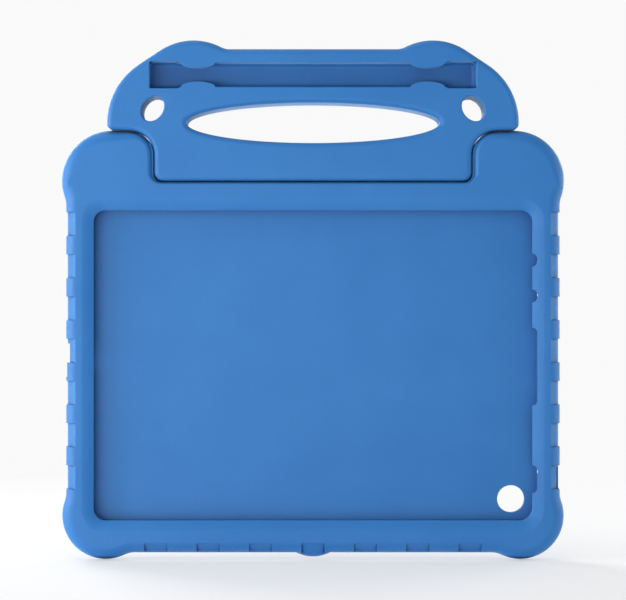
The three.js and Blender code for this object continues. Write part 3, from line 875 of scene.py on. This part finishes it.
def foam_material():
    """Matte blue foam: mottled, finely grained, faintly lustrous at grazing angles, with soft edges, and painted
    shade down in hollows and slits, where its sheen and gloss are turned down too."""
    material, tree, shader = node_material("blue_foam", FOAM_DEEP, 0.6)
    patches = noise(tree, PATCH_SCALE, 4)
    grain = noise(tree, GRAIN_SCALE, 2)
    skin = noise(tree, SKIN_SCALE, 3)
    crevice_shade_mask = painted_shade_mask(tree, CREVICE_REACH, *CREVICE_RANGE, own_walls_only=False)
    hollow_shade_mask = painted_shade_mask(tree, HOLLOW_REACH, *HOLLOW_RANGE, own_walls_only=True)
    mottle = mix_colour(tree, ramp(tree, patches, 0, 1, 0.3, 0.7), FOAM_DEEP, FOAM_LIGHT)
    speck = mix_colour(tree, ramp(tree, grain, 0, 0.22, 0.35, 0.75), mottle, FOAM_LIGHT)
    # Painted shade: darker colour in deep hollows.
    hollow = mix_colour(tree, hollow_shade_mask, FOAM_HOLLOW_SHADE, speck)
    # Painted shade: darker colour in slits and seams.
    shaded = mix_colour(tree, crevice_shade_mask, FOAM_CREVICE_SHADE, hollow)
    tree.links.new(shaded, shader.inputs["Base Color"])
    tree.links.new(ramp(tree, skin, *FOAM_ROUGHNESS, 0.3, 0.7), shader.inputs["Roughness"])
    # Painted shade: sheen and gloss fade out in slits.
    tree.links.new(ramp(tree, crevice_shade_mask, 0, FOAM_SHEEN), shader.inputs["Sheen Weight"])
    tree.links.new(ramp(tree, crevice_shade_mask, 0, FOAM_SPECULAR), shader.inputs["Specular IOR Level"])
    shader.inputs["Sheen Roughness"].default_value = FOAM_SHEEN_ROUGHNESS
    shader.inputs["Sheen Tint"].default_value = FOAM_SHEEN_TINT
    edge = add_node(tree, "ShaderNodeBevel", Radius=SOFT_EDGE)
    edge.samples = 4
    add_bumps(tree, shader, (
        (patches, 0.06, 0.0006), (skin, 0.10, 0.00018), (grain, 0.16, 0.00008)),
        edge.outputs["Normal"])
    return material


# How dark the painted shade makes plastic that is shut in a slit, as a share of its colour.
SLIT_SHADE_SHARE = 0.06
CREASE_ANGLE = math.radians(32)


def plastic_material(name, colour, roughness):
    """Satin plastic with a faint drift in tone, and painted shade where it is shut in."""
    material, tree, shader = node_material(name, colour, roughness)
    fine = noise(tree, 3000, 2)
    broad = noise(tree, 140, 3)
    tone = tuple(min(1.0, c * 1.25 + 0.01) for c in colour)
    slit_shade_colour = tuple(c * SLIT_SHADE_SHARE for c in colour)
    crevice_shade_mask = painted_shade_mask(tree, CREVICE_REACH, *CREVICE_RANGE, own_walls_only=False)
    # Painted shade where the plastic is shut in a slit.
    shaded = mix_colour(tree, crevice_shade_mask, slit_shade_colour, mix_colour(tree, broad, colour, tone))
    tree.links.new(shaded, shader.inputs["Base Color"])
    tree.links.new(ramp(tree, fine, roughness - 0.08, roughness + 0.1, 0.3, 0.7),
                   shader.inputs["Roughness"])
    add_bumps(tree, shader, ((fine, 0.1, 0.00004),))
    return material


def steel_material():
    """Ground steel with fine rings along the pin."""
    material, tree, shader = node_material("pin_steel", (0.5, 0.51, 0.52), 0.3)
    shader.inputs["Metallic"].default_value = 1.0
    place = tree.nodes.new("ShaderNodeTexCoord")
    wave = add_node(tree, "ShaderNodeTexWave", Scale=900.0, Distortion=2.0)
    wave.bands_direction = "X"
    tree.links.new(place.outputs["Object"], wave.inputs["Vector"])
    tree.links.new(ramp(tree, wave.outputs["Fac"], 0.22, 0.38), shader.inputs["Roughness"])
    add_bumps(tree, shader, ((wave.outputs["Fac"], 0.15, 0.00002),))
    return material


def paint(piece, material):
    piece.data.materials.clear()
    piece.data.materials.append(material)


# ---- Pieces on their bodies ----
def finish_piece(piece, name, body, material, node):
    """Shades a piece, paints it and puts it on its CAD body in place of a CAD node."""
    mesh = piece.data
    mesh.polygons.foreach_set("use_smooth", [True] * len(mesh.polygons))
    mesh.set_sharp_from_angle(angle=CREASE_ANGLE)
    weighted = piece.modifiers.new("even_shading", "WEIGHTED_NORMAL")
    weighted.keep_sharp = True
    weighted.weight = 100
    keep_evaluated(piece)
    piece.name = name
    piece.data.name = name
    paint(piece, material)
    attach(piece, body)
    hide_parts(node)


blue_foam = foam_material()
finish_piece(build_shell(), "foam_shell", "case", blue_foam, "case_shell")
finish_piece(build_pad(), "foam_back_pad", "case", blue_foam, "back_pad")
finish_piece(build_handle(), "foam_handle", "handle", blue_foam, "handle_body")
for way in ("up", "down"):
    node = f"volume_{way}_pad"
    finish_piece(build_button(node), f"foam_{node}", f"volume_{way}", blue_foam, node)

black_plastic = plastic_material("black_plastic", (0.02, 0.02, 0.024), 0.45)
pale_nylon = plastic_material("pale_nylon", (0.62, 0.62, 0.6), 0.42)
pin_steel = steel_material()
paint(frame["nodes"]["hinge_bar"], black_plastic)
for hand in ("left", "right"):
    paint(frame["nodes"][f"{hand}_shoulder_bush"], pale_nylon)
    paint(frame["nodes"][f"{hand}_friction_ring"], pale_nylon)
    paint(frame["nodes"][f"{hand}_hinge_pin"], pin_steel)


# ---- Stage ----
FLOOR_HALF = 40.0
FLOOR_DROP = 0.0003
FLOOR_COLOUR = (0.92, 0.92, 0.915)
FLOOR_FADE = (0.1, 0.6)
FLOOR_GLOW = 0.4
WORLD_LIGHT = 0.2
BACKDROP = 0.95
CAMERA_DISTANCE = 1.2
VIEW_WIDTH = 0.345
CASE_MIDDLE = (0, 0, 0.14)


def add_floor():
    half = FLOOR_HALF
    mesh = bpy.data.meshes.new("floor")
    corners = [(-half, -half, 0), (half, -half, 0), (half, half, 0), (-half, half, 0)]
    mesh.from_pydata(corners, [], [(0, 1, 2, 3)])
    floor = bpy.data.objects.new("floor", mesh)
    floor.location.z = -FLOOR_DROP
    bpy.context.scene.collection.objects.link(floor)
    material, tree, shader = node_material("pale_floor", FLOOR_COLOUR, 0.75)
    shader.inputs["Specular IOR Level"].default_value = 0.1
    fade_to_backdrop(tree, shader)
    paint(floor, material)


def fade_to_backdrop(tree, shader):
    """To the camera, part of the floor's light is the backdrop's tone, and all of it is far
    from the case, so that floor and backdrop meet without a line."""
    place = tree.nodes.new("ShaderNodeNewGeometry")
    length = tree.nodes.new("ShaderNodeVectorMath")
    length.operation = "LENGTH"
    tree.links.new(place.outputs["Position"], length.inputs[0])
    far = ramp(tree, length.outputs["Value"], FLOOR_GLOW, 1, *FLOOR_FADE)
    path = tree.nodes.new("ShaderNodeLightPath")
    factor = tree.nodes.new("ShaderNodeMath")
    factor.operation = "MULTIPLY"
    tree.links.new(far, factor.inputs[0])
    tree.links.new(path.outputs["Is Camera Ray"], factor.inputs[1])
    glow = add_node(tree, "ShaderNodeEmission", Color=(1, 1, 1, 1), Strength=BACKDROP)
    mix = tree.nodes.new("ShaderNodeMixShader")
    tree.links.new(factor.outputs[0], mix.inputs[0])
    tree.links.new(shader.outputs[0], mix.inputs[1])
    tree.links.new(glow.outputs[0], mix.inputs[2])
    tree.links.new(mix.outputs[0], tree.nodes["Material Output"].inputs["Surface"])


def aim(thing, target):
    thing.rotation_euler = (Vector(target) - thing.location).to_track_quat("-Z", "Y").to_euler()


def add_light(name, place, size, power, target=CASE_MIDDLE):
    data = bpy.data.lights.new(name, "AREA")
    data.shape = "RECTANGLE"
    data.size, data.size_y = size
    data.energy = power
    light = bpy.data.objects.new(name, data)
    light.location = place
    light.visible_camera = False
    bpy.context.scene.collection.objects.link(light)
    aim(light, target)


def add_world():
    """Soft grey light all round, with a paler backdrop where the camera sees past the floor."""
    world = bpy.data.worlds.new("studio")
    world.use_nodes = True
    tree = world.node_tree
    background = tree.nodes["Background"]
    background.inputs["Strength"].default_value = WORLD_LIGHT
    backdrop = add_node(tree, "ShaderNodeBackground", Strength=BACKDROP)
    path = tree.nodes.new("ShaderNodeLightPath")
    mix = tree.nodes.new("ShaderNodeMixShader")
    for node in (background, backdrop):
        node.inputs["Color"].default_value = (1, 1, 1, 1)
    tree.links.new(path.outputs["Is Camera Ray"], mix.inputs[0])
    tree.links.new(background.outputs[0], mix.inputs[1])
    tree.links.new(backdrop.outputs[0], mix.inputs[2])
    tree.links.new(mix.outputs[0], tree.nodes["World Output"].inputs["Surface"])
    bpy.context.scene.world = world


def add_camera():
    data = bpy.data.cameras.new("camera")
    data.sensor_width = 36
    data.lens = data.sensor_width * CAMERA_DISTANCE / VIEW_WIDTH
    middle = (CAD_BOX[0] + CAD_BOX[1]) / 2
    camera = bpy.data.objects.new("camera", data)
    camera.location = (0.0, -CAMERA_DISTANCE, middle.z)
    bpy.context.scene.collection.objects.link(camera)
    aim(camera, (0.0, 0.0, middle.z))
    bpy.context.scene.camera = camera


def add_stage():
    add_floor()
    add_light("left_softbox", (-1.3, -0.3, 0.2), (0.9, 0.9), 21)
    add_light("right_softbox", (1.3, -0.1, 0.3), (0.7, 0.9), 8)
    add_light("low_front_fill", (-0.5, -1.1, 0.05), (1.2, 0.25), 10, (0, 0, 0.06))
    add_light("top_softbox", (-0.2, -0.1, 1.4), (1.2, 0.7), 6)
    add_light("back_key", (-1.0, 1.5, 0.9), (1.0, 1.0), 28)
    add_light("back_fill", (1.2, 1.3, 0.5), (1.0, 1.0), 12)
    add_world()
    bpy.context.scene.view_settings.view_transform = "Standard"
    add_camera()


add_stage()
